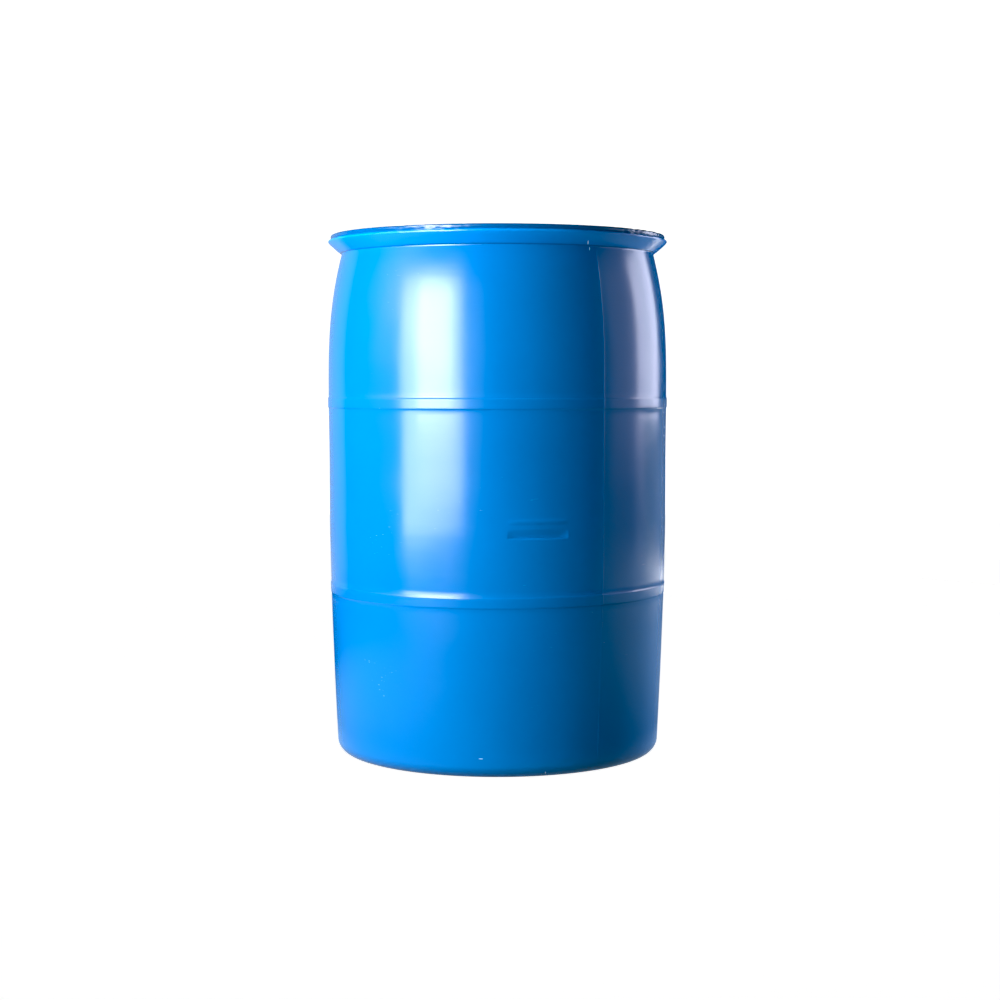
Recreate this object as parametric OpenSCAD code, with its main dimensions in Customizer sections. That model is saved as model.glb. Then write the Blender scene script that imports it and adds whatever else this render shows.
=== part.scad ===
// Closed-head blow-moulded plastic drum with a welded handling ring and two screw bungs.
// Units are millimetres. The drum stands on z = 0, centred on the z axis.
// The coarse-thread bung is at -x, the pipe-thread bung at +x, and the drum's front faces -y.

/* [Body] */
// Overall height, floor to the top of the handling ring
drum_h = 889; // [860:1:930]
// Outside diameter of the straight middle of the body
body_d = 582; // [570:1:600]
// Wall thickness of the blow-moulded shell
wall = 4; // [3:0.5:5]
// How much smaller the radius is just above the bottom corner
foot_taper = 12.5; // [4:0.5:16]
// How much smaller the radius is at the neck under the handling ring
neck_taper = 22.5; // [18:0.5:26]
// Radius of the rounded bottom corner
corner_r = 23; // [14:1:26]

/* [Rolling hoops] */
// Height of the middle of the lower hoop
lower_hoop_z = 286; // [240:1:330]
// Height of the middle of the upper hoop
upper_hoop_z = 604; // [560:1:630]
// Height of each hoop
hoop_w = 21; // [14:1:30]
// How far each hoop stands out
hoop_h = 1.1; // [0.5:0.1:3]

/* [Handling ring] */
// Height of the ring from its crease to its top
ring_h = 32; // [28:1:36]
// How far the ring's ridge stands out from the neck
ring_reach = 22.7; // [20:0.1:24]
// Thickness of the ring's upright lip
lip_t = 9.5; // [7:0.5:12]

/* [Bungs] */
// Distance of each bung from the drum's axis
bung_x = 200; // [185:1:203]
// Depth of the flat head below the top of the handling ring
head_drop = 29; // [26:1:31]
// Thread diameter of the coarse bung
coarse_d = 56; // [54:0.5:58]
// Thread pitch of the coarse bung
coarse_pitch = 4; // [3.5:0.1:4.2]
// Thread diameter of the 2 in pipe-thread bung
pipe_d = 59.6; // [58:0.1:61]
// Thread pitch of the 2 in pipe-thread bung
pipe_pitch = 2.31; // [2.2:0.01:2.4]
// Thread diameter of the 3/4 in reducer bung
reducer_d = 26.4; // [25:0.1:27]
// Thread pitch of the 3/4 in reducer bung
reducer_pitch = 1.81; // [1.7:0.01:1.9]

/* [Panel] */
// Width of the shallow panel on the front, measured round the body
panel_w = 92; // [60:1:140]
// Height of the panel
panel_h = 31; // [20:1:60]
// Height of the panel's middle above the floor
panel_z = 404; // [360:1:520]
// Angle of the panel's middle from straight ahead
panel_angle = 13; // [-30:1:60]

/* [Hidden] */

$fn = 96;

// Body outline
body_r = body_d / 2;
straight_low_z = 400;            // the lower taper ends here
shoulder_z = 640;                // the shoulder starts here
neck_z = drum_h - ring_h;        // the crease under the handling ring
neck_r = body_r - neck_taper;
neck_curl_z = neck_z - 17;       // the shoulder turns in faster above this height
neck_curl = 1.5;                 // how much the last turn adds
belly = 1;                       // the body is this much fuller at the upper hoop
foot_outer_r = body_r - foot_taper - corner_r;
foot_inner_r = foot_outer_r - 13;
pushup = 12;                     // how far the bottom's middle is raised
pushup_r = 225;                  // where the raised middle starts

// Where the shell's bottom, wall and head meet
bottom_top_z = pushup + wall + 1;
head_low_z = neck_z - 7;

// Head
rim_z = neck_z + 13;             // top of the shell's rim, inside the ring
rim_corner = 4;
head_z = drum_h - head_drop;     // the flat head
head_t = 5;
head_edge_r = 248;               // the head's flat reaches out to here
rim_inner_r = 256;               // and the raised rim starts here

// Handling ring
ridge_r = neck_r + ring_reach;
lip_r = ridge_r - 3.9;
ridge_z = drum_h - 10.5;

// Bung fittings: each insert stands on the head, and its plug seals on its top
insert_flange_d = 86;
insert_neck_d = 74;
insert_rise = 4;                 // how far the insert stands above the head
insert_z = head_z + insert_rise;
insert_neck = 26;                // length of the insert below its top
plug_flange_t = 7;
plug_wall = 4;                   // thickness of a plug's sleeve and of its floor
edge = 1.5;                      // bevel on the flanges' upper edges
coarse_gasket_t = 2.5;
pipe_gasket_t = 2.5;
reducer_gasket_t = 1.8;
coarse_sleeve = 24;              // length of each plug's sleeve below its flange
pipe_sleeve = 22;
reducer_stem = 17;
boss_drop = 2.5;                 // the boss inside the pipe plug ends this far below its top
reducer_seat_z = insert_z + pipe_gasket_t + plug_flange_t - boss_drop;
boss_l = plug_flange_t - boss_drop + pipe_sleeve;
reducer_flange_d = 34;
reducer_flange_t = 4.5;
reducer_socket = 14;             // side of the square wrench socket
reducer_socket_drop = 10;        // depth of the socket below the flange

// Screw threads: a screw's ridge runs half a pitch from the ridge in its hole
thread_gap = 0.35;               // radial clearance between screw and hole
thread_bite = 0.4;               // how deep a thread's root is sunk in its wall
coarse_depth = 1.8;
pipe_depth = 1.3;
reducer_depth = 1.0;
insert_lead = 4;                 // plain hole above an insert's thread
boss_lead = 3;                   // plain hole above the boss's thread
plain_end = 2;                   // plain length below every thread

// A smooth raised band round the body: 0 outside it, 1 on its middle
function hoop(z, middle) =
    abs(z - middle) < hoop_w / 2 ? pow(cos(180 * (z - middle) / hoop_w), 0.6) : 0;

// Outside radius of the shell at a height above the bottom corner
function body_out(z) =
    body_r
    - foot_taper * pow(max(0, straight_low_z - z) / (straight_low_z - corner_r), 1.4)
    + belly * max(0, min(1, (z - 500) / 100))
    - (neck_taper + belly - neck_curl)
      * pow(max(0, z - shoulder_z) / (neck_z - shoulder_z), 2.3)
    - neck_curl * pow(max(0, z - neck_curl_z) / (neck_z - neck_curl_z), 1.5)
    + hoop_h * (hoop(z, lower_hoop_z) + hoop(z, upper_hoop_z));

// Heights at which the outline needs a point, closer together where it bends
function spread(low, high, count) = [for (i = [0 : count]) low + (high - low) * i / count];
hoop_half = hoop_w / 2;
body_heights = concat(
    spread(corner_r, lower_hoop_z - hoop_half - 1, 9),
    spread(lower_hoop_z - hoop_half, lower_hoop_z + hoop_half, 10),
    spread(lower_hoop_z + hoop_half + 1, straight_low_z, 4),
    spread(500, upper_hoop_z - hoop_half - 1, 3),
    spread(upper_hoop_z - hoop_half, upper_hoop_z + hoop_half, 10),
    spread(upper_hoop_z + hoop_half + 1, neck_curl_z, 14),
    spread(neck_curl_z + 4, neck_z, 4));

// Points of an arc about [x, z], from one angle to another
function arc(x, z, r, from, to, count) =
    [for (i = [0 : count]) let (a = from + (to - from) * i / count) [x + r * cos(a), z + r * sin(a)]];

function shell_outside() = concat(
    [[0, pushup], [pushup_r, pushup], [foot_inner_r - 6, 2]],
    [[foot_inner_r, 0]],
    arc(foot_outer_r, corner_r, corner_r, -90, 0, 8),
    [for (z = body_heights) if (z > corner_r) [body_out(z), z]],
    arc(neck_r - rim_corner, rim_z - rim_corner, rim_corner, 0, 90, 5),
    [[rim_inner_r, rim_z], [head_edge_r, head_z], [0, head_z]]);

function shell_inside() = concat(
    [[0, pushup + wall], [pushup_r + 2, pushup + wall], [foot_inner_r - 2, wall]],
    arc(foot_outer_r, corner_r, corner_r - wall, -90, 0, 6),
    [for (z = spread(corner_r + 10, neck_z, 22)) [body_out(z) - wall
        - hoop_h * (hoop(z, lower_hoop_z) + hoop(z, upper_hoop_z)), z]],
    [[neck_r - wall - 2, rim_z - head_t], [rim_inner_r + 1, rim_z - head_t],
     [head_edge_r + 1, head_z - head_t], [0, head_z - head_t]]);

// The sunken panel: a thin curved block taken out of the body's face
module panel_cut() {
    panel_depth = 0.7;
    face_r = body_out(panel_z);
    half_angle = panel_w / 2 / face_r * 180 / PI;
    rotate([0, 0, -90 + panel_angle - half_angle])
        rotate_extrude(angle = 2 * half_angle)
            translate([face_r - panel_depth, panel_z - panel_h / 2])
                square([5, panel_h]);
}

// The shell is one moulding. It is drawn as a bottom, a wall and a head that meet face to face,
// so that each is a simple shape with the drum's hollow left open between them.
module shell_slice(low_z, high_z) {
    color("#0a86dc")
    rotate_extrude($fn = 180) intersection() {
        difference() {
            polygon(shell_outside());
            polygon(shell_inside());
        }
        translate([0, low_z]) square([body_d, high_z - low_z]);
    }
}

module shell_bottom() {
    shell_slice(0, bottom_top_z);
}

module shell_wall() {
    difference() {
        shell_slice(bottom_top_z, head_low_z);
        panel_cut();
    }
}

module shell_head() {
    difference() {
        shell_slice(head_low_z, rim_z);
        for (side = [-1, 1])
            translate([side * bung_x, 0, head_z - head_t - 1])
                cylinder(d = insert_neck_d, h = head_t + 2);
    }
}

// The ring's section: a flared web welded to the neck, a ridge, and an upright lip
module handling_ring() {
    top_r = 2.5;
    ridge_round = 2.8;
    web_round = 5;
    color("#0a80d6")
    rotate_extrude($fn = 180)
        polygon(concat(
            [[neck_r, neck_z], [neck_r + 3, neck_z + 2.6], [neck_r + 8.8, neck_z + 6.6],
             [neck_r + 12, neck_z + 11.9], [ridge_r - 4.3, neck_z + 15]],
            arc(ridge_r - ridge_round, ridge_z, ridge_round, -50, 60, 6),
            [[lip_r, ridge_z + 3.6]],
            arc(lip_r - top_r, drum_h - top_r, top_r, 0, 90, 4),
            arc(lip_r - lip_t + top_r, drum_h - top_r, top_r, 90, 180, 4),
            arc(lip_r - lip_t - web_round, rim_z + web_round, web_round, 0, -90, 4),
            [[neck_r, rim_z]]));
}

// A screw thread's ridge along +z from z = 0, as one closed strip that fades in and out.
// It runs from the wall radius root to the radius crest, outward or inward.
module thread(root, crest, pitch, turns, start) {
    steps_per_turn = 36;
    steps = ceil(turns * steps_per_turn);
    fade = 10;
    root_half = pitch * 0.24;
    crest_half = pitch * 0.1;
    points = [for (i = [0 : steps])
        let (angle = start + 360 * i / steps_per_turn,
             z = pitch * i / steps_per_turn,
             height = max(0.05, min(1, i / fade, (steps - i) / fade)),
             tip = root + (crest - root) * height,
             foot = root - sign(crest - root) * thread_bite)
        each [[foot * cos(angle), foot * sin(angle), z - root_half],
              [tip * cos(angle), tip * sin(angle), z - crest_half],
              [tip * cos(angle), tip * sin(angle), z + crest_half],
              [foot * cos(angle), foot * sin(angle), z + root_half]]];
    outward = crest > root;
    sides = [for (i = [0 : steps - 1]) for (k = [0 : 3])
        let (a = 4 * i + k, b = 4 * i + (k + 1) % 4)
        each outward ? [[a, b, b + 4], [a, b + 4, a + 4]] : [[a, b + 4, b], [a, a + 4, b + 4]]];
    last = 4 * steps;
    ends = outward
        ? [[3, 2, 1, 0], [last, last + 1, last + 2, last + 3]]
        : [[0, 1, 2, 3], [last + 3, last + 2, last + 1, last]];
    polyhedron(points, concat(sides, ends));
}

// Whole turns of thread that fit a length, and the height where a hole's thread starts
function whole_turns(length, pitch) = floor(length / pitch);
function insert_turns(pitch) = whole_turns(insert_neck - insert_lead - plain_end, pitch);
function insert_thread_z(pitch) = insert_z - insert_lead - pitch * insert_turns(pitch);
function boss_turns() = whole_turns(boss_l - boss_lead - 3, reducer_pitch);
function boss_thread_z() = reducer_seat_z - boss_lead - reducer_pitch * boss_turns();

// The lowest height, above a limit, that is whole pitches above a hole's thread start
function in_step(hole_z, limit_z, pitch) = hole_z + pitch * ceil((limit_z - hole_z) / pitch);

// A welded-in bung fitting: a flange on the head and a threaded neck through it
module insert(thread_d, pitch, depth) {
    hole_r = thread_d / 2 + thread_gap;
    seat_d = insert_flange_d - 8;
    difference() {
        union() {
            translate([0, 0, head_z]) cylinder(d = insert_flange_d, h = insert_rise - edge);
            translate([0, 0, insert_z - edge]) cylinder(d1 = insert_flange_d, d2 = seat_d, h = edge);
            translate([0, 0, insert_z - insert_neck]) cylinder(d = insert_neck_d, h = insert_neck);
        }
        translate([0, 0, insert_z - insert_neck - 1]) cylinder(r = hole_r, h = insert_neck + 2);
    }
    translate([0, 0, insert_thread_z(pitch)])
        thread(hole_r, hole_r - depth, pitch, insert_turns(pitch), 180);
}

// The outside of a screw plug: flange with grip notches, and a hollow threaded sleeve
module plug_body(thread_d, depth, sleeve, flange_d, seat_z) {
    root_r = thread_d / 2 - depth;
    notch_count = 24;
    notch_r = 1.6;
    difference() {
        union() {
            translate([0, 0, seat_z]) cylinder(d = flange_d, h = plug_flange_t - edge);
            translate([0, 0, seat_z + plug_flange_t - edge])
                cylinder(d1 = flange_d, d2 = flange_d - 2 * edge, h = edge);
            translate([0, 0, seat_z - sleeve]) cylinder(r = root_r, h = sleeve + 1);
        }
        translate([0, 0, seat_z - sleeve + plug_wall])
            cylinder(r = root_r - plug_wall, h = sleeve + plug_flange_t);
        for (i = [0 : notch_count - 1])
            rotate([0, 0, 360 * i / notch_count])
                translate([flange_d / 2 + 0.6, 0, seat_z - 1])
                    cylinder(r = notch_r, h = plug_flange_t + 2, $fn = 24);
    }
}

module plug_thread(thread_d, pitch, depth, sleeve, seat_z, gasket_t) {
    turns = whole_turns(sleeve - gasket_t - 5, pitch);
    translate([0, 0, in_step(insert_thread_z(pitch), seat_z - sleeve + plain_end, pitch)])
        thread(thread_d / 2 - depth, thread_d / 2, pitch, turns, 0);
}

module flat_gasket(outer_d, inner_d, thickness) {
    difference() {
        cylinder(d = outer_d, h = thickness);
        translate([0, 0, -1]) cylinder(d = inner_d, h = thickness + 2);
    }
}

module buttress_insert() {
    color("#0c78c8") translate([-bung_x, 0, 0]) insert(coarse_d, coarse_pitch, coarse_depth);
}

module buttress_gasket() {
    color("#222426") translate([-bung_x, 0, insert_z])
        flat_gasket(coarse_d + 11, coarse_d + 1.4, coarse_gasket_t);
}

// The coarse plug: a deep cup with four lugs for the bung wrench
module buttress_plug() {
    seat_z = insert_z + coarse_gasket_t;
    cup_r = coarse_d / 2 - coarse_depth - plug_wall;
    lug_l = 6;
    lug_w = 5;
    color("#e9ecec") translate([-bung_x, 0, 0]) {
        plug_body(coarse_d, coarse_depth, coarse_sleeve, 70, seat_z);
        for (i = [0 : 3])
            rotate([0, 0, 45 + 90 * i])
                translate([cup_r - lug_l + 1, -lug_w / 2, seat_z - coarse_sleeve + plug_wall - 1])
                    cube([lug_l, lug_w, coarse_sleeve + plug_flange_t - 6]);
        plug_thread(coarse_d, coarse_pitch, coarse_depth, coarse_sleeve, seat_z, coarse_gasket_t);
    }
}

module pipe_insert() {
    color("#0c78c8") translate([bung_x, 0, 0]) insert(pipe_d, pipe_pitch, pipe_depth);
}

module pipe_gasket() {
    color("#222426") translate([bung_x, 0, insert_z])
        flat_gasket(pipe_d + 11, pipe_d + 1.4, pipe_gasket_t);
}

// The pipe plug: a cup with a threaded boss in the middle, held by four webs
module pipe_plug() {
    seat_z = insert_z + pipe_gasket_t;
    low_z = seat_z - pipe_sleeve;
    boss_d = reducer_d + 9;
    cup_r = pipe_d / 2 - pipe_depth - plug_wall;
    hole_r = reducer_d / 2 + thread_gap;
    web_w = 4;
    color("#e9ecec") translate([bung_x, 0, 0]) {
        difference() {
            union() {
                plug_body(pipe_d, pipe_depth, pipe_sleeve, 74, seat_z);
                translate([0, 0, low_z]) cylinder(d = boss_d, h = boss_l);
                for (i = [0 : 3])
                    rotate([0, 0, 90 * i])
                        translate([boss_d / 2 - 1, -web_w / 2, low_z + plug_wall - 1])
                            cube([cup_r - boss_d / 2 + 2, web_w, boss_l - 6]);
            }
            translate([0, 0, low_z - 1]) cylinder(r = hole_r, h = boss_l + 2);
        }
        plug_thread(pipe_d, pipe_pitch, pipe_depth, pipe_sleeve, seat_z, pipe_gasket_t);
        translate([0, 0, boss_thread_z()])
            thread(hole_r, hole_r - reducer_depth, reducer_pitch, boss_turns(), 180);
    }
}

module reducer_gasket() {
    color("#222426") translate([bung_x, 0, reducer_seat_z])
        flat_gasket(reducer_d + 6.4, reducer_d + 1, reducer_gasket_t);
}

// The small plug: a closed threaded stem under a flange with a square wrench socket
module reducer_plug() {
    seat_z = reducer_seat_z + reducer_gasket_t;
    bevel = 1;
    root_r = reducer_d / 2 - reducer_depth;
    turns = whole_turns(reducer_stem - reducer_gasket_t - 4, reducer_pitch);
    low_z = in_step(boss_thread_z(), seat_z - reducer_stem + 1.5, reducer_pitch);
    color("#e9ecec") translate([bung_x, 0, 0]) {
        difference() {
            union() {
                translate([0, 0, seat_z]) cylinder(d = reducer_flange_d, h = reducer_flange_t - bevel);
                translate([0, 0, seat_z + reducer_flange_t - bevel])
                    cylinder(d1 = reducer_flange_d, d2 = reducer_flange_d - 2 * bevel, h = bevel);
                translate([0, 0, seat_z - reducer_stem]) cylinder(r = root_r, h = reducer_stem + 1);
            }
            translate([-reducer_socket / 2, -reducer_socket / 2, seat_z - reducer_socket_drop])
                cube([reducer_socket, reducer_socket, reducer_socket_drop + reducer_flange_t + 1]);
        }
        translate([0, 0, low_z]) thread(root_r, reducer_d / 2, reducer_pitch, turns, 0);
    }
}

shell_bottom();
shell_wall();
shell_head();
handling_ring();
buttress_insert();
buttress_gasket();
buttress_plug();
pipe_insert();
pipe_gasket();
pipe_plug();
reducer_gasket();
reducer_plug();
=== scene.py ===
import math

import bpy
from mathutils import Euler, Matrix, Quaternion, Vector, noise


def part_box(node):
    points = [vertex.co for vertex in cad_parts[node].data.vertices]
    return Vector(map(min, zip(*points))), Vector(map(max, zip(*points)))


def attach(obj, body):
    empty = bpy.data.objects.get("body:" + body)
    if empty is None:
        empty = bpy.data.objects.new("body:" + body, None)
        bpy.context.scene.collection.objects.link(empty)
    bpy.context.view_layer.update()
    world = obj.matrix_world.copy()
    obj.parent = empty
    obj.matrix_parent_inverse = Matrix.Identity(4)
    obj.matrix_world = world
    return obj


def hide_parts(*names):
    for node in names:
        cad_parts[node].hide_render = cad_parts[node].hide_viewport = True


# A closed-head blue polyethylene drum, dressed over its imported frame. Lengths are in metres and
# the drum stands on z = 0, centred on the z axis, with its front towards -y.

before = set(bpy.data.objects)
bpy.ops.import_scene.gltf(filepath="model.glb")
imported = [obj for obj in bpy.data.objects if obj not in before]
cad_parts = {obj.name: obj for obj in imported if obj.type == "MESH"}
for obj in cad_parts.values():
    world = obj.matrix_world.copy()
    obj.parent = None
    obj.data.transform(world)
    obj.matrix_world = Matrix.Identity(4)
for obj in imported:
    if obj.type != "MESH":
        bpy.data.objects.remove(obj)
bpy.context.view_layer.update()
wall_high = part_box("shell_wall")[1]
head_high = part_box("shell_head")[1]
ring_low, ring_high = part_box("handling_ring")
coarse_low, coarse_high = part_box("buttress_insert")
pipe_low, pipe_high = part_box("pipe_insert")

# Sizes of the shell that the frame's boxes give
DRUM_H = ring_high.z
NECK_Z = ring_low.z
RIM_Z = head_high.z
RIDGE_R = ring_high.x
BUNG_X = [(coarse_low.x + coarse_high.x) / 2, (pipe_low.x + pipe_high.x) / 2]
BUNG_HOLE_R = (pipe_high.x - pipe_low.x) / 2 - 0.006

# The rest of the outline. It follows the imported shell, except that the shoulder's curve is a
# little different and the hoops' edges slope.
HOOP_H = 0.0011
HOOP_W = 0.021
BELLY = 0.001
BODY_R = wall_high.x - BELLY - HOOP_H
HOOP_ZS = (0.286, 0.604)
CORNER_R = 0.023
FOOT_TAPER = 0.0125
NECK_TAPER = 0.0225
NECK_R = BODY_R - NECK_TAPER
NECK_FOOT_Z = NECK_Z - 0.001
STRAIGHT_LOW_Z = 0.4
SHOULDER_Z = 0.64
FOOT_OUTER_R = BODY_R - FOOT_TAPER - CORNER_R
FOOT_INNER_R = FOOT_OUTER_R - 0.013
PUSHUP = 0.012
PUSHUP_R = 0.225
HEAD_Z = DRUM_H - 0.029
HEAD_EDGE_R = 0.248
RIM_INNER_R = 0.256
RIM_CORNER = 0.004
WALL = 0.004
LIP_FOOT_Z = DRUM_H - 0.0078

# Angles are measured from +x, so the front is at -90 degrees
FRONT = -math.pi / 2
PARTING = FRONT + math.radians(36)
PANEL_ANGLE = FRONT + math.radians(13)
CRINKLES = [(FRONT + math.radians(middle), math.radians(half))
            for middle, half in ((-24, 17), (58, 18), (-150, 25))]

# The panel is 12 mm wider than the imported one, as its ends fade out
PANEL_W = 0.104
PANEL_H = 0.031
PANEL_Z = 0.404


def smooth(low, high, value):
    """0 below low, 1 above high, and an even S between them."""
    t = max(0.0, min(1.0, (value - low) / (high - low)))
    return t * t * (3 - 2 * t)


def turn_gap(a, b):
    """The smaller angle between two directions, with its sign."""
    return (a - b + math.pi) % (2 * math.pi) - math.pi


def spread(low, high, count):
    """count + 1 even steps from low to high."""
    return [low + (high - low) * i / count for i in range(count + 1)]


def all_round(count):
    """count even directions, all the way round."""
    return spread(-math.pi, math.pi, count)[:-1]


def arc(x, z, r, start, end, count):
    """Points of an arc about (x, z); the angles are in degrees."""
    angles = [math.radians(a) for a in spread(start, end, count)]
    return [(x + r * math.cos(a), z + r * math.sin(a)) for a in angles]


def hoop(z, middle):
    """A rolling hoop's rise: a flat crest between two sloping edges."""
    t = (z - middle) / (HOOP_W / 2)
    return smooth(-1.0, -0.7, t) * smooth(1.0, 0.65, t)


def body_out(z):
    """Outside radius of the shell at height z, above the bottom corner."""
    taper = max(0.0, STRAIGHT_LOW_Z - z) / (STRAIGHT_LOW_Z - CORNER_R)
    shoulder = max(0.0, min(z, NECK_FOOT_Z) - SHOULDER_Z) / (NECK_FOOT_Z - SHOULDER_Z)
    return (BODY_R
            - FOOT_TAPER * taper ** 1.4
            + BELLY * max(0.0, min(1.0, (z - 0.5) / 0.1))
            - (NECK_TAPER + BELLY) * shoulder ** 2.4
            + HOOP_H * sum(hoop(z, middle) for middle in HOOP_ZS))


def shell_outline():
    """The outside of the shell from the middle of its bottom to the middle of its head."""
    half = HOOP_W / 2
    heights = []
    edges = [CORNER_R] + [e for m in HOOP_ZS for e in (m - half, m + half)] + [NECK_Z]
    for low, high in zip(edges[0::2], edges[1::2]):
        heights += spread(low, high, int((high - low) / 0.008))[1:]
    for middle in HOOP_ZS:
        heights += spread(middle - half, middle + half, 30)[1:-1]
    heights += spread(NECK_FOOT_Z - 0.004, NECK_Z - 0.0008, 6)
    heights += spread(PANEL_Z - PANEL_H / 2 - 0.0015, PANEL_Z + PANEL_H / 2 + 0.0015, 34)
    bottom = [(r, PUSHUP) for r in spread(0.02, PUSHUP_R, 12)]
    slope = [(PUSHUP_R + (FOOT_INNER_R - 0.004 - PUSHUP_R) * t,
              PUSHUP - (PUSHUP - 0.001) * smooth(0, 1, t))
             for t in spread(0, 1, 8)[1:]]
    foot = [(r, 0.0) for r in spread(FOOT_INNER_R, FOOT_OUTER_R, 4)]
    corner = arc(FOOT_OUTER_R, CORNER_R, CORNER_R, -90, 0, 12)[1:-1]
    wall = [(body_out(z), z) for z in sorted(heights)]
    rim = arc(NECK_R - RIM_CORNER, RIM_Z - RIM_CORNER, RIM_CORNER, 0, 90, 6)
    step = [(RIM_INNER_R + (HEAD_EDGE_R - RIM_INNER_R) * t,
             RIM_Z + (HEAD_Z - RIM_Z) * smooth(0, 1, t))
            for t in spread(0, 1, 8)]
    head = [(r, HEAD_Z) for r in spread(HEAD_EDGE_R, 0.02, 14)[1:]]
    return bottom + slope + foot + corner + wall + rim + step + head


def shell_inner_outline():
    """The inside of the shell from the middle of its head down to the middle of its bottom."""
    head = [(r, HEAD_Z - 0.005) for r in (0.02, 0.12, HEAD_EDGE_R)]
    rim = [(RIM_INNER_R, RIM_Z - 0.005), (NECK_R - WALL - 0.003, RIM_Z - 0.006)]
    wall = [(body_out(z) - WALL, z) for z in spread(NECK_Z, CORNER_R, 60)]
    foot = arc(FOOT_OUTER_R, CORNER_R, CORNER_R - WALL, 0, -90, 6)[1:]
    bottom = [(FOOT_INNER_R, WALL), (PUSHUP_R, PUSHUP + WALL), (0.02, PUSHUP + WALL)]
    return head + rim + wall + foot + bottom


def revolve(name, outline, angles, shift, capped):
    """A mesh of the outline turned about the z axis. shift(angle, r, z) gives each point's moved
    (r, z). capped closes both ends on the axis; otherwise the outline is a loop."""
    count = len(angles)
    verts = []
    for r, z in outline:
        for a in angles:
            new_r, new_z = shift(a, r, z)
            verts.append((new_r * math.cos(a), new_r * math.sin(a), new_z))
    faces = []
    rows = len(outline)
    for i in range(rows - 1 if capped else rows):
        low, high = i * count, (i + 1) % rows * count
        for j in range(count):
            k = (j + 1) % count
            faces.append((low + j, low + k, high + k, high + j))
    if capped:
        for row, (r, z), flip in ((0, outline[0], True), (rows - 1, outline[-1], False)):
            pole = len(verts)
            verts.append((0.0, 0.0, z))
            for j in range(count):
                a, b = row * count + j, row * count + (j + 1) % count
                faces.append((b, a, pole) if flip else (a, b, pole))
    mesh = bpy.data.meshes.new(name)
    mesh.from_pydata(verts, [], faces)
    mesh.validate()
    obj = bpy.data.objects.new(name, mesh)
    bpy.context.collection.objects.link(obj)
    return obj


def shade(obj, sharp_degrees):
    """Smooth shading, with edges sharper than the angle left crisp."""
    obj.data.shade_smooth()
    obj.data.set_sharp_from_angle(angle=math.radians(sharp_degrees))


def join(target, *others):
    """Joins the other meshes into the target."""
    bpy.ops.object.select_all(action="DESELECT")
    for obj in (target, *others):
        obj.select_set(True)
    bpy.context.view_layer.objects.active = target
    bpy.ops.object.join()


def body_angles():
    """Directions round the body, even except for extra ones at the mould lines and the panel."""
    even = all_round(288)
    fine = 0.0004 / BODY_R
    near = (-5, -3, -2, -1, 0, 1, 2, 3, 5)
    mould = [PARTING + side * math.pi + k * fine for side in (0, 1) for k in near]
    panel_half = PANEL_W / 2 / BODY_R
    step = 0.001 / BODY_R
    panel = [PANEL_ANGLE + side * (panel_half - k * step) for side in (-1, 1) for k in (-1, 0, 1, 2)]
    extra = [turn_gap(a, 0.0) for a in mould + panel]
    kept = [a for a in even if all(abs(turn_gap(a, b)) > 0.004 for b in extra)]
    return sorted(kept + extra)


def panel_depth(z):
    """How far the panel lies below the body: a raised bead along its top, a shallow upper half,
    and a lower half that leans in to a ledge."""
    top = PANEL_Z + PANEL_H / 2
    low = PANEL_Z - PANEL_H / 2
    bead = -0.0009 * smooth(top + 0.002, top - 0.002, z) * smooth(top - 0.009, top - 0.004, z)
    leaning = 0.0025 * smooth(PANEL_Z + 0.002, low + 0.003, z) * smooth(low - 0.0005, low + 0.0015, z)
    return bead + leaning


def body_shift(a, r, z):
    """Moves the shell's outside a little: slow waves, the mould line and the sunken panel."""
    on_wall = smooth(0.0, 0.05, z) * smooth(NECK_Z, NECK_Z - 0.03, z) if r > NECK_R - 0.002 else 0.0
    if on_wall == 0.0:
        return r, z
    p = Vector((math.cos(a) * 2.2, math.sin(a) * 2.2, z * 2.6))
    q = Vector((math.cos(a) * 4.0, math.sin(a) * 4.0, z * 11.0))
    t = Vector((math.cos(a) * 9.0, math.sin(a) * 9.0, z * 4.0))
    wave = 0.0006 * noise.noise(p) + 0.00026 * noise.noise(q) + 0.0001 * noise.noise(t)
    line_gap = min(abs(turn_gap(a, PARTING)), abs(turn_gap(a, PARTING + math.pi))) * BODY_R
    line = 0.00032 * smooth(0.0016, 0.0, line_gap)
    across = abs(turn_gap(a, PANEL_ANGLE)) * BODY_R
    sunk = panel_depth(z) * smooth(PANEL_W / 2, PANEL_W / 2 - 0.012, across)
    return r + (wave + line) * on_wall - sunk, z


def stay(a, r, z):
    """Leaves a point where it is."""
    return r, z


def cut_holes(shell):
    """Cuts both bung holes through the head. The cutter is moved and turned by a hair, so that its
    corners miss the rows of the head's mesh and the cut mesh stays closed."""
    hair = 0.00003
    hair_turn = 0.017
    for x in BUNG_X:
        bpy.ops.mesh.primitive_cylinder_add(
            vertices=96, radius=BUNG_HOLE_R, depth=0.03,
            location=(x, hair, HEAD_Z), rotation=(0, 0, hair_turn))
        tool = bpy.context.object
        cut = shell.modifiers.new("bung hole", "BOOLEAN")
        cut.object = tool
        cut.operation = "DIFFERENCE"
        cut.solver = "EXACT"
        bpy.context.view_layer.objects.active = shell
        bpy.ops.object.modifier_apply(modifier=cut.name)
        bpy.data.objects.remove(tool)


def make_shell():
    """The blow-moulded shell, with its wall's thickness and both bung holes."""
    outside = revolve("shell_skin", shell_outline(), body_angles(), body_shift, True)
    inside = revolve("shell_inside", shell_inner_outline(), all_round(96), stay, True)
    join(outside, inside)
    cut_holes(outside)
    shade(outside, 32)
    return outside


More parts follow.
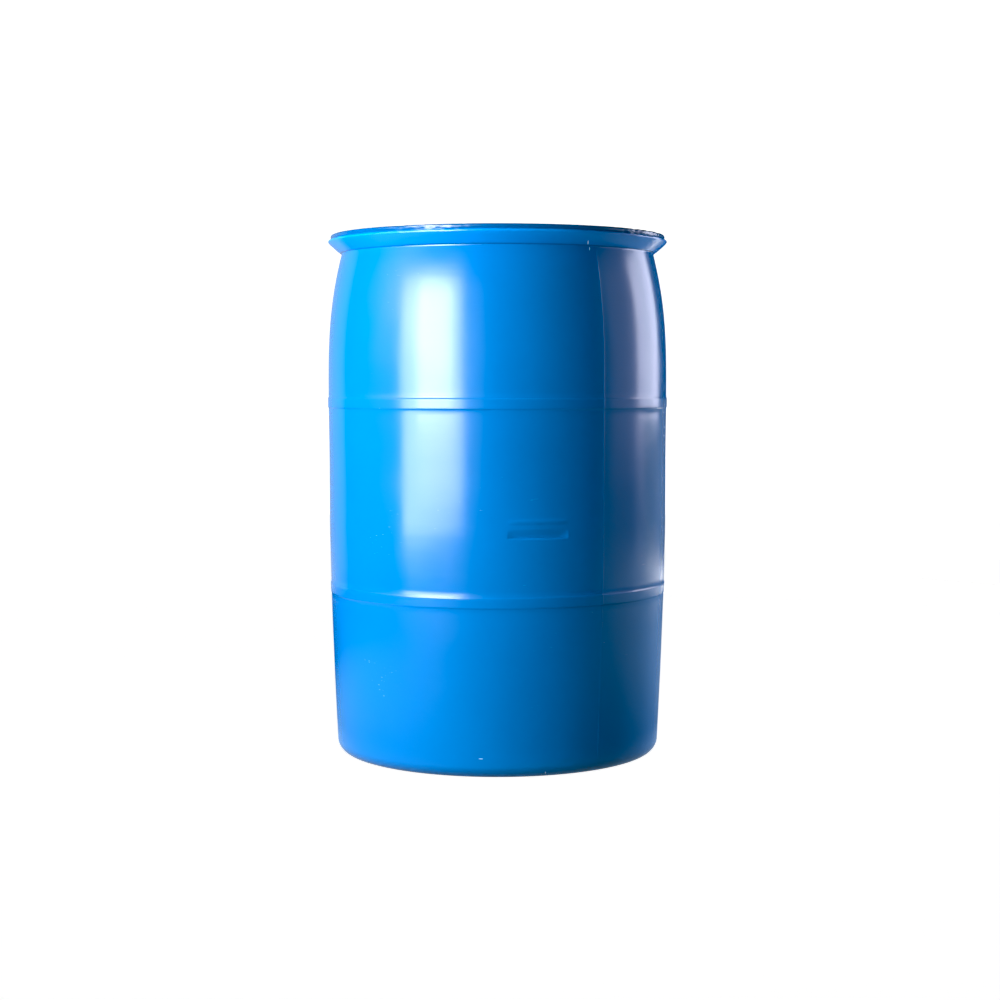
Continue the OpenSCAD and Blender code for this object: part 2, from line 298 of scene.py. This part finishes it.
def ring_outline():
    """The handling ring's section as a loop, from the crease out, up and back over the web."""
    ridge_z = DRUM_H - 0.0105
    lip_r = RIDGE_R - 0.0039
    lip_t = 0.0095
    top_r = 0.0028
    flare = [(NECK_R, NECK_Z), (NECK_R - 0.0001, NECK_Z + 0.0005), (NECK_R + 0.0009, NECK_Z + 0.0012),
             (NECK_R + 0.003, NECK_Z + 0.0026), (NECK_R + 0.0066, NECK_Z + 0.0054),
             (NECK_R + 0.0105, NECK_Z + 0.0088), (NECK_R + 0.0145, NECK_Z + 0.0123),
             (NECK_R + 0.0185, NECK_Z + 0.0158)]
    ridge = [(RIDGE_R - 0.0012, ridge_z - 0.0027), (RIDGE_R - 0.0002, ridge_z - 0.0016),
             (RIDGE_R, ridge_z - 0.0006), (RIDGE_R - 0.0001, ridge_z + 0.0006),
             (RIDGE_R - 0.0006, ridge_z + 0.0014), (RIDGE_R - 0.0024, ridge_z + 0.002)]
    groove = [(lip_r - 0.0012, ridge_z + 0.0023), (lip_r - 0.0016, ridge_z + 0.0027),
              (lip_r - 0.0013, ridge_z + 0.0033)]
    lip = ([(lip_r - 0.0008, ridge_z + 0.0042), (lip_r - 0.0003, ridge_z + 0.0053),
            (lip_r, ridge_z + 0.0066)]
           + arc(lip_r - top_r, DRUM_H - top_r, top_r, 10, 90, 6)
           + arc(lip_r - lip_t + top_r, DRUM_H - top_r, top_r, 90, 180, 5))
    foot = arc(lip_r - lip_t - 0.005, RIM_Z + 0.005, 0.005, 0, -90, 5)
    return flare + ridge + groove + lip + foot + [(NECK_R, RIM_Z)]


def ring_shift(a, r, z):
    """Moves the ring's upper edge about, as its pressed lip is crinkled here and there."""
    upper = smooth(DRUM_H - 0.0116, DRUM_H - 0.0075, z)
    outer = smooth(RIDGE_R - 0.016, RIDGE_R - 0.01, r)
    p = Vector((math.cos(a) * 9, math.sin(a) * 9, z * 150))
    q = Vector((math.cos(a) * 30, math.sin(a) * 30, z * 260))
    rough = 0.0019 * noise.noise(p) + 0.0011 * noise.noise(q)
    crinkled = max(smooth(half, 0.4 * half, abs(turn_gap(a, middle))) for middle, half in CRINKLES)
    weight = upper * (0.16 + 0.84 * crinkled)
    drop = 0.6 * abs(rough) * weight
    return r + (rough - 0.0004) * weight * outer, z - drop


def make_ring():
    """The welded handling ring."""
    ring = revolve("ring_skin", ring_outline(), all_round(720), ring_shift, False)
    shade(ring, 28)
    return ring


class Nodes:
    """Short calls that build one material's node tree."""

    def __init__(self, name):
        self.material = bpy.data.materials.new(name)
        self.material.use_nodes = True
        self.tree = self.material.node_tree
        self.shader = self.tree.nodes["Principled BSDF"]
        self.place = self.tree.nodes.new("ShaderNodeTexCoord").outputs["Object"]

    def link(self, source, target):
        self.tree.links.new(source, target)

    def set_or_link(self, socket, value):
        if isinstance(value, bpy.types.NodeSocket):
            self.link(value, socket)
        else:
            socket.default_value = value

    def stretched(self, scale):
        """The object's own coordinates, scaled on each axis."""
        node = self.tree.nodes.new("ShaderNodeMapping")
        node.inputs["Scale"].default_value = scale
        self.link(self.place, node.inputs["Vector"])
        return node.outputs["Vector"]

    def noise(self, scale, detail=2.0, place=None):
        node = self.tree.nodes.new("ShaderNodeTexNoise")
        node.inputs["Scale"].default_value = scale
        node.inputs["Detail"].default_value = detail
        self.link(place or self.place, node.inputs["Vector"])
        return node.outputs["Fac"]

    def ranged(self, value, low, high, to_low, to_high):
        """value between low and high, carried over to the range from to_low to to_high."""
        node = self.tree.nodes.new("ShaderNodeMapRange")
        self.link(value, node.inputs["Value"])
        sockets = ("From Min", "From Max", "To Min", "To Max")
        for socket, number in zip(sockets, (low, high, to_low, to_high)):
            node.inputs[socket].default_value = number
        return node.outputs["Result"]

    def math(self, operation, a, b=0.0):
        node = self.tree.nodes.new("ShaderNodeMath")
        node.operation = operation
        self.set_or_link(node.inputs[0], a)
        self.set_or_link(node.inputs[1], b)
        return node.outputs["Value"]

    def mix(self, factor, a, b):
        """Colour a where factor is 0 and colour b where it is 1."""
        node = self.tree.nodes.new("ShaderNodeMix")
        node.data_type = "RGBA"
        self.set_or_link(node.inputs["Factor"], factor)
        self.set_or_link(node.inputs["A"], a)
        self.set_or_link(node.inputs["B"], b)
        return node.outputs["Result"]

    def height(self):
        """How high the shaded point is."""
        node = self.tree.nodes.new("ShaderNodeSeparateXYZ")
        self.link(self.place, node.inputs["Vector"])
        return node.outputs["Z"]

    def spot(self, centre, half, core=0.55):
        """1 on a spot and 0 off it; half holds its half size on each axis, core its full part."""
        node = self.tree.nodes.new("ShaderNodeMapping")
        node.inputs["Location"].default_value = [-c / h for c, h in zip(centre, half)]
        node.inputs["Scale"].default_value = [1 / h for h in half]
        self.link(self.place, node.inputs["Vector"])
        reach = self.tree.nodes.new("ShaderNodeVectorMath")
        reach.operation = "LENGTH"
        self.link(node.outputs["Vector"], reach.inputs[0])
        return self.ranged(reach.outputs["Value"], core, 1.0, 1.0, 0.0)

    def scaled(self, colour, factor):
        node = self.tree.nodes.new("ShaderNodeVectorMath")
        node.operation = "SCALE"
        self.set_or_link(node.inputs[0], colour)
        self.set_or_link(node.inputs["Scale"], factor)
        return node.outputs["Vector"]

    def bump(self, height, distance, strength=1.0, under=None):
        node = self.tree.nodes.new("ShaderNodeBump")
        node.inputs["Distance"].default_value = distance
        node.inputs["Strength"].default_value = strength
        self.link(height, node.inputs["Height"])
        if under is not None:
            self.link(under, node.inputs["Normal"])
        return node.outputs["Normal"]

    def finish(self, colour, roughness, normal=None, ior=1.55):
        self.set_or_link(self.shader.inputs["Base Color"], colour)
        self.set_or_link(self.shader.inputs["Roughness"], roughness)
        self.shader.inputs["IOR"].default_value = ior
        if normal is not None:
            self.link(normal, self.shader.inputs["Normal"])
        return self.material


def polyethylene(name, colour, pale, rough_low, rough_high, painted_lip_shade=None, nicks=()):
    """Moulded polyethylene: an orange-peel skin, faint rings round the body from the mould, slow
    colour drift, a few fine pale scratches, and a pale nick at each place given. The lip colour,
    when given, is painted shade on the top of the ring, and the ring's crease then gets a painted
    dark line of shade, too."""
    n = Nodes(name)
    skin = n.noise(420.0, 2.0)
    rings = n.noise(40.0, 3.0, n.stretched((0.12, 0.12, 3.0)))
    slanted = n.noise(60.0, 2.0, n.stretched((1.0, 1.6, 8.0)))
    scratch = n.math("MULTIPLY", n.ranged(slanted, 0.71, 0.74, 0.0, 1.0),
                     n.ranged(n.noise(9.0), 0.6, 0.72, 0.0, 1.0))
    base = colour
    if painted_lip_shade is not None:
        # Painted shade: the top of the ring's lip, above LIP_FOOT_Z, takes the darker lip colour.
        painted_lip_shade_mask = n.ranged(n.height(), LIP_FOOT_Z - 0.0008, LIP_FOOT_Z + 0.0008, 0.0, 1.0)
        base = n.mix(painted_lip_shade_mask, [*colour, 1], [*painted_lip_shade, 1])
        # Painted shade: a thin line along the ring's crease is darkened down to 0.55.
        from_crease = n.math("ABSOLUTE", n.math("SUBTRACT", n.height(), NECK_Z + 0.0012))
        base = n.scaled(base, n.ranged(from_crease, 0.0006, 0.0016, 0.55, 1.0))
    drifted = n.scaled(base, n.ranged(n.noise(5.0, 3.0), 0.3, 0.7, 0.94, 1.0))
    scratched = n.mix(n.math("MULTIPLY", scratch, 0.3), drifted, [*pale, 1])
    for angle, radius, z, half_width, half_height in nicks:
        centre = (radius * math.cos(angle), radius * math.sin(angle), z)
        scratched = n.mix(n.spot(centre, (half_width, 0.01, half_height)), scratched, [*pale, 1])
    roughness = n.math("ADD", n.ranged(n.noise(12.0, 5.0), 0.3, 0.7, rough_low, rough_high),
                       n.math("MULTIPLY", scratch, 0.15))
    grain = n.bump(skin, 0.00003)
    normal = n.bump(rings, 0.00008, 1.0, grain)
    return n.finish(scratched, roughness, normal)


def rubber(name):
    """Black gasket rubber with a dusty bloom."""
    n = Nodes(name)
    bloom = n.noise(120.0, 4.0)
    black = (0.018, 0.018, 0.019, 1)
    dusty = (0.05, 0.05, 0.052, 1)
    colour = n.mix(n.ranged(bloom, 0.45, 0.75, 0.0, 1.0), black, dusty)
    return n.finish(colour, n.ranged(bloom, 0.3, 0.7, 0.55, 0.75), n.bump(n.noise(900.0), 0.00003))


def dress(obj, material):
    """Gives an object one material."""
    obj.data.materials.clear()
    obj.data.materials.append(material)


# Materials. Each nick is its angle, radius, height, half width and half height.
SCUFF = (0.35, 0.6, 0.8)
NICKS = [(FRONT + math.radians(33.5), NECK_R, 0.853, 0.0011, 0.0035),
         (FRONT + math.radians(-5.5), BODY_R - 0.012, 0.034, 0.0042, 0.0007),
         (FRONT + math.radians(16.5), BODY_R - 0.018, 0.008, 0.001, 0.0024)]
RING_NICKS = [(FRONT + math.radians(32), NECK_R + 0.006, 0.8625, 0.0014, 0.004)]
drum_blue = polyethylene("drum_blue", (0.0, 0.108, 0.35), SCUFF, 0.16, 0.23, nicks=NICKS)
# The ring's blue is paler than the drum's as painted light, standing for floor light on its
# down-facing web; its darker lip colour is painted shade.
ring_blue_painted_light_and_shade = polyethylene("ring_blue_painted_light_and_shade", (0.0, 0.175, 0.56), SCUFF, 0.16, 0.23,
                         painted_lip_shade=(0.0, 0.066, 0.21), nicks=RING_NICKS)
fitting_blue = polyethylene("fitting_blue", (0.0, 0.09, 0.27), SCUFF, 0.26, 0.34)
plug_white = polyethylene("plug_white", (0.72, 0.72, 0.68), (0.9, 0.9, 0.88), 0.32, 0.42)
gasket_black = rubber("gasket_black")

# The shell and the ring are new meshes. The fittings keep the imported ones.
shell_skin = make_shell()
dress(shell_skin, drum_blue)
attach(shell_skin, "drum")
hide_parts("shell_bottom", "shell_wall", "shell_head")

ring_skin = make_ring()
dress(ring_skin, ring_blue_painted_light_and_shade)
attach(ring_skin, "drum")
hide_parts("handling_ring")

for node_name, material in (("buttress_insert", fitting_blue), ("pipe_insert", fitting_blue),
                            ("buttress_plug", plug_white), ("pipe_plug", plug_white),
                            ("reducer_plug", plug_white), ("buttress_gasket", gasket_black),
                            ("pipe_gasket", gasket_black), ("reducer_gasket", gasket_black)):
    dress(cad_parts[node_name], material)


def matt_white(name, share, glow):
    """A matt surface that gives back that share of its light and may glow, for the stage."""
    material = bpy.data.materials.new(name)
    material.use_nodes = True
    shader = material.node_tree.nodes["Principled BSDF"]
    shader.inputs["Base Color"].default_value = (share, share, share, 1)
    shader.inputs["Roughness"].default_value = 0.9
    shader.inputs["Emission Color"].default_value = (1, 1, 1, 1)
    shader.inputs["Emission Strength"].default_value = glow
    return material


def stage_sheet(name, corners, material):
    """A flat sheet of the stage with the given corners."""
    mesh = bpy.data.meshes.new(name)
    mesh.from_pydata(corners, [], [tuple(range(len(corners)))])
    obj = bpy.data.objects.new(name, mesh)
    bpy.context.collection.objects.link(obj)
    dress(obj, material)
    return obj


def softbox(name, azimuth, distance, height, width, tall, power,
            glossy=True, diffuse=True, roll=0, colour=(1, 1, 1)):
    """A rectangular light that faces the drum. Azimuth 0 is in front, positive to the right."""
    data = bpy.data.lights.new(name, "AREA")
    data.shape = "RECTANGLE"
    data.size = width
    data.size_y = tall
    data.energy = power
    data.color = colour
    lamp = bpy.data.objects.new(name, data)
    a = math.radians(azimuth)
    lamp.location = (distance * math.sin(a), -distance * math.cos(a), height)
    target = Vector((0, 0, min(height, 0.8)))
    aim = (target - lamp.location).to_track_quat("-Z", "Y")
    lamp.rotation_euler = (aim @ Quaternion((0, 0, 1), math.radians(roll))).to_euler()
    lamp.visible_camera = False
    lamp.visible_glossy = glossy
    lamp.visible_diffuse = diffuse
    bpy.context.collection.objects.link(lamp)


def disc(radius):
    """The corners of a round sheet on the floor."""
    return [(radius * math.cos(a), radius * math.sin(a), 0) for a in spread(0, 2 * math.pi, 48)[:-1]]


def gleaming(name):
    """A floor that glows beside the drum on both sides, and in a narrow band round its foot. Each
    spot is its centre, its half size and the part of it that glows fully."""
    n = Nodes(name)
    left = n.spot((-0.8, -0.1, 0), (1.0, 1.0, 1.0), 0.25)
    right = n.spot((1.9, 0.5, 0), (2.1, 2.1, 1.0), 0.4)
    foot = n.spot((0, 0, 0), (0.42, 0.42, 1.0), 0.75)
    sides = n.math("MULTIPLY", n.math("ADD", left, right), 0.72)
    n.link(n.math("ADD", sides, n.math("MULTIPLY", foot, 0.35)), n.shader.inputs["Emission Strength"])
    n.shader.inputs["Emission Color"].default_value = (0.6, 0.75, 1.0, 1)
    return n.finish((0.35, 0.35, 0.35, 1), 0.9)


def make_stage():
    """A round white room. What the camera sees of it lights nothing, so the drum's colour stays
    deep. Two round sheets stand in for the floor instead: a dull one lights the drum from below,
    and the drum's foot mirrors the other."""
    room_r = 6
    room_h = 6
    room = revolve("stage_room", [(room_r, 0), (room_r, room_h)], all_round(96), stay, True)
    dress(room, matt_white("stage_white", 0.6, 1.0))
    room.visible_diffuse = False
    room.visible_glossy = False
    room.visible_shadow = False
    gleam = stage_sheet("floor_gleam", disc(4), gleaming("stage_gleam"))
    gleam.visible_diffuse = False
    bounce = stage_sheet("floor_bounce", disc(2.5), matt_white("stage_dull", 0.35, 0.0))
    bounce.visible_glossy = False
    for sheet in (gleam, bounce):
        sheet.visible_camera = False
    world = bpy.data.worlds.new("room")
    world.use_nodes = True
    background = world.node_tree.nodes["Background"]
    background.inputs["Color"].default_value = (0.6, 0.8, 1.0, 1)
    background.inputs["Strength"].default_value = 0.012
    bpy.context.scene.world = world


def make_lights():
    """The key lights at the front left make the broad highlight, and the rim lights behind on the
    right the edge light. Those with glossy=False brighten the colour and aren't mirrored. The
    numbers are azimuth, distance, height, width, tall and power."""
    softbox("key", -42.5, 2.2, 0.91, 1.6, 1.38, 68, roll=4)
    softbox("key_core", -40, 2.1, 0.99, 0.85, 0.95, 25, roll=4)
    softbox("key_tail", -17, 2.2, 0.95, 0.6, 1.3, 1.7)
    softbox("key_skirt", -43, 2.2, 0.13, 1.1, 0.18, 0.6)
    softbox("key_top", -62, 1.9, 1.3, 1.2, 0.8, 72, glossy=False)
    softbox("overhead", 0, 4.0, 5.3, 6.0, 1.6, 26, diffuse=False)
    softbox("left_bounce", -80, 2.4, 1.1, 1.4, 1.4, 26, glossy=False)
    softbox("left_fill", -146, 2.4, 0.8, 2.3, 1.6, 5.4)
    softbox("rim", 117, 2.1, 1.0, 1.15, 0.95, 14, colour=(0.97, 0.98, 1.2))
    softbox("rim_edge", 93, 2.1, 1.05, 1.35, 1.3, 3.2, colour=(1.0, 0.85, 1.35))
    softbox("rim_low", 90, 2.1, 0.75, 1.7, 1.5, 2.4, colour=(1.0, 0.9, 1.5))
    softbox("right_fill", 128, 2.2, 0.3, 2.2, 0.6, 1.1)
    softbox("right_bounce", 136, 3.0, 0.5, 2.0, 1.0, 140, glossy=False)


def make_camera():
    """The picture's camera, a long lens a little above the drum's middle."""
    distance = 3.31
    eye_height = 0.637
    pitch = math.radians(3.51)
    turn = math.radians(0.075)
    focal_share = 1.905
    data = bpy.data.cameras.new("camera")
    data.sensor_width = 36
    data.lens = 36 * focal_share
    camera = bpy.data.objects.new("camera", data)
    camera.location = (0, -distance, eye_height)
    camera.rotation_euler = Euler((math.pi / 2 - pitch, 0, -turn))
    bpy.context.collection.objects.link(camera)
    bpy.context.scene.camera = camera


def make_grade():
    """A plain display transform, with the red of the deep blues let down to black."""
    view = bpy.context.scene.view_settings
    view.view_transform = "Standard"
    view.use_curve_mapping = True
    view.curve_mapping.black_level = (0.02, 0.0, 0.0)
    view.curve_mapping.update()


make_stage()
make_lights()
make_camera()
make_grade()
